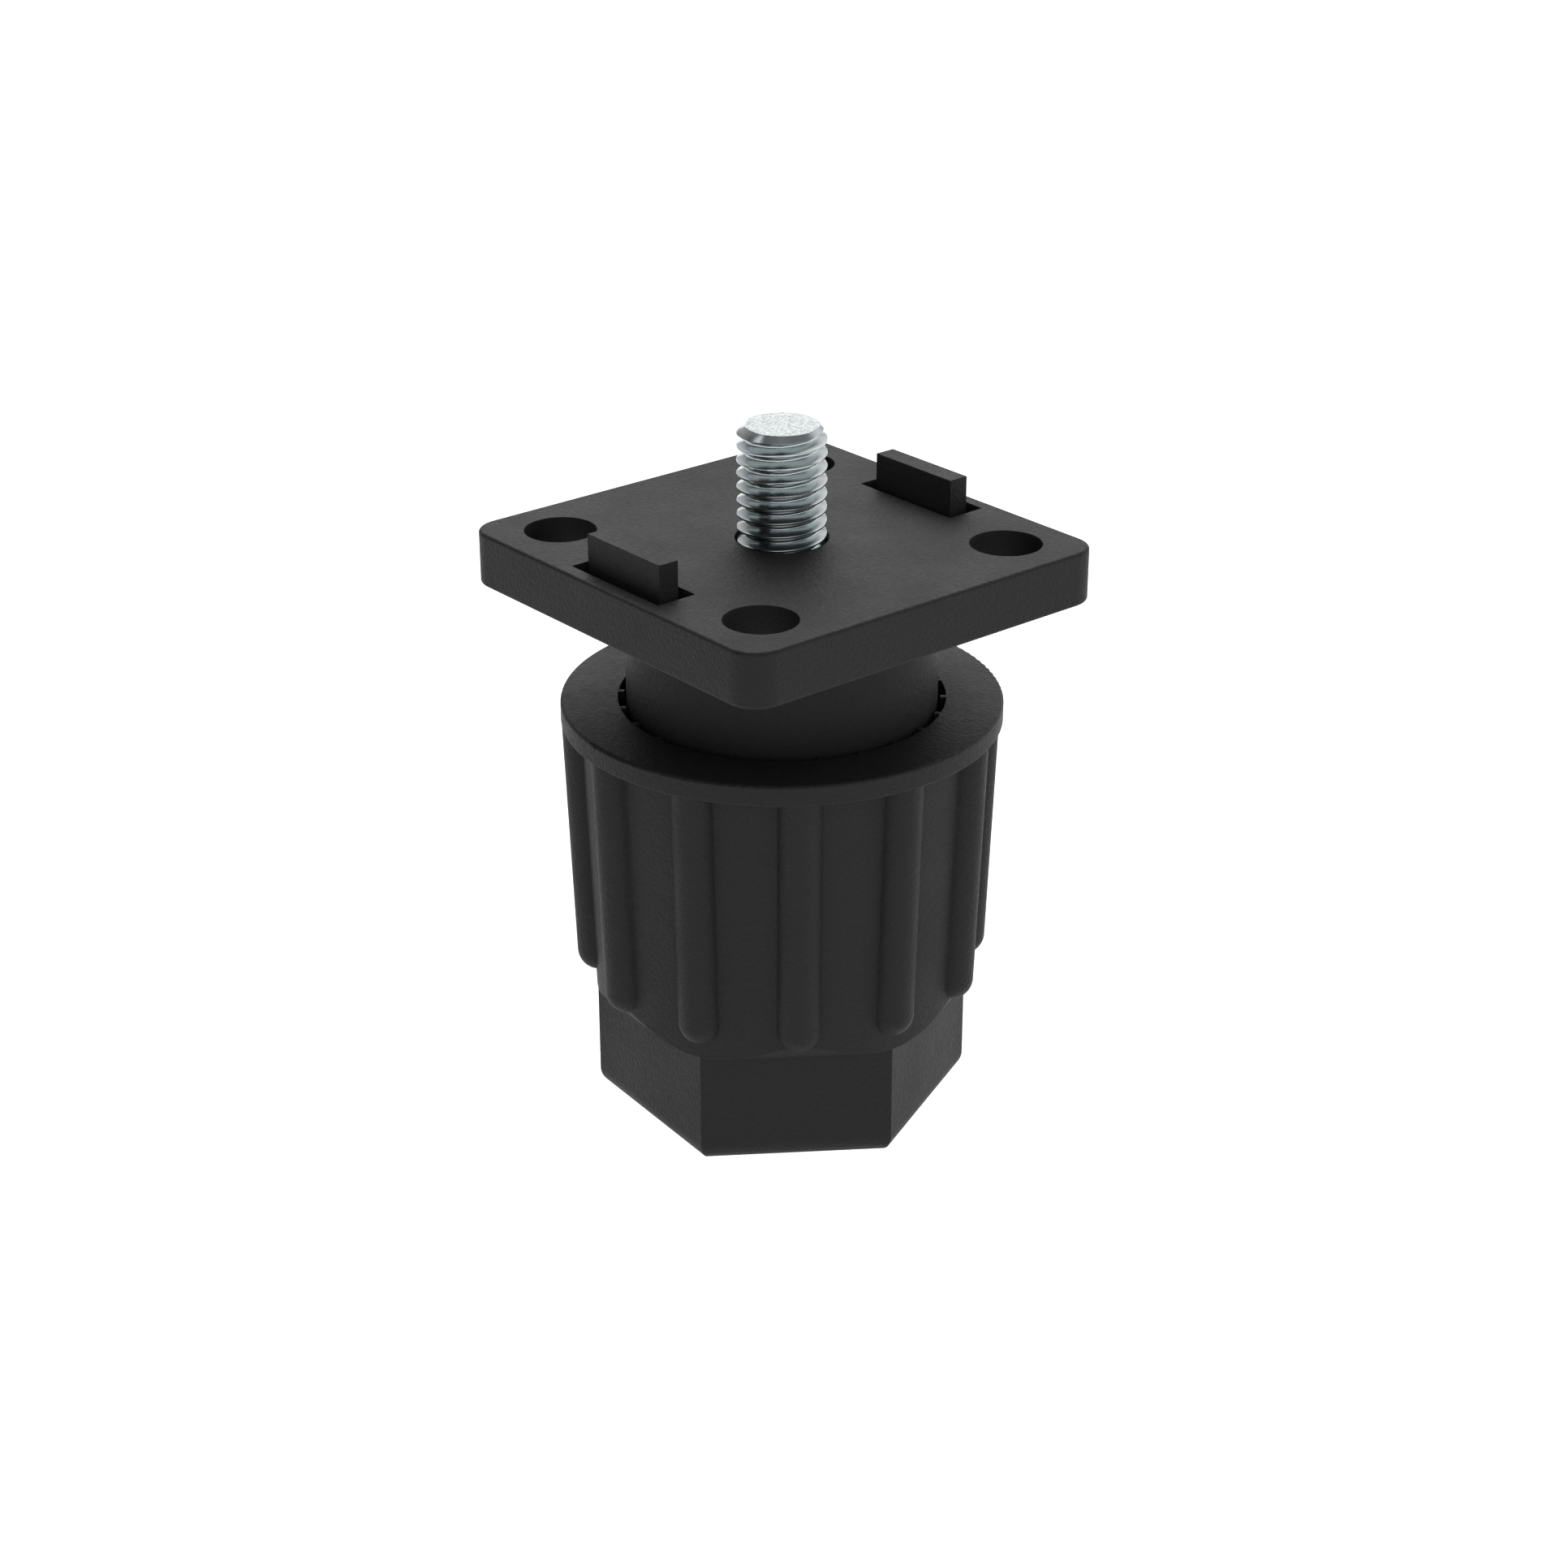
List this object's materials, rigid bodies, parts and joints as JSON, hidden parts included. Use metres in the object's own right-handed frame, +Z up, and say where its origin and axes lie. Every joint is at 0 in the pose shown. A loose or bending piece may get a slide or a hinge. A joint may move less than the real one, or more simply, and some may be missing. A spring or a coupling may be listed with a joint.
{
  "type": "levelling foot",
  "caption": "Black moulded levelling foot: square bolt-on plate with locating tabs, threaded stud, and a ribbed base with a hexagonal end that turns to set the height.",
  "frame": {"origin": "on the floor, on the axis of the adjusting screw", "axes": "+Z up along the screw, towards the plate; the locating tabs lie along X, one on each side of the axis in Y"},
  "size_m": [0.04, 0.04, 0.0657],
  "materials": {
    "black_moulding": "fine grain, matte",
    "zinc_steel": "bright zinc plate",
    "bush_brass": "turned"
  },
  "bodies": {
    "plate": {"top_plate": "black_moulding"},
    "bush": {"threaded_bush": "bush_brass"},
    "foot": {"adjusting_screw": "zinc_steel", "ribbed_base": "black_moulding"}
  },
  "joints": [
    {"name": "foot_turn", "type": "hinge", "parent": "plate", "child": "bush", "pos_m": [0, 0, 0.0453], "axis": [0, 0, 1], "range_deg": [-3456, 2764.8]},
    {"name": "foot_lift", "type": "slide", "parent": "bush", "child": "foot", "axis": [0, 0, 1], "range_m": [-0.012, 0.0096]}
  ],
  "couplings": [
    {"joint": "foot_lift", "follows": "foot_turn", "m_per_rad": 0.00019894}
  ]
}
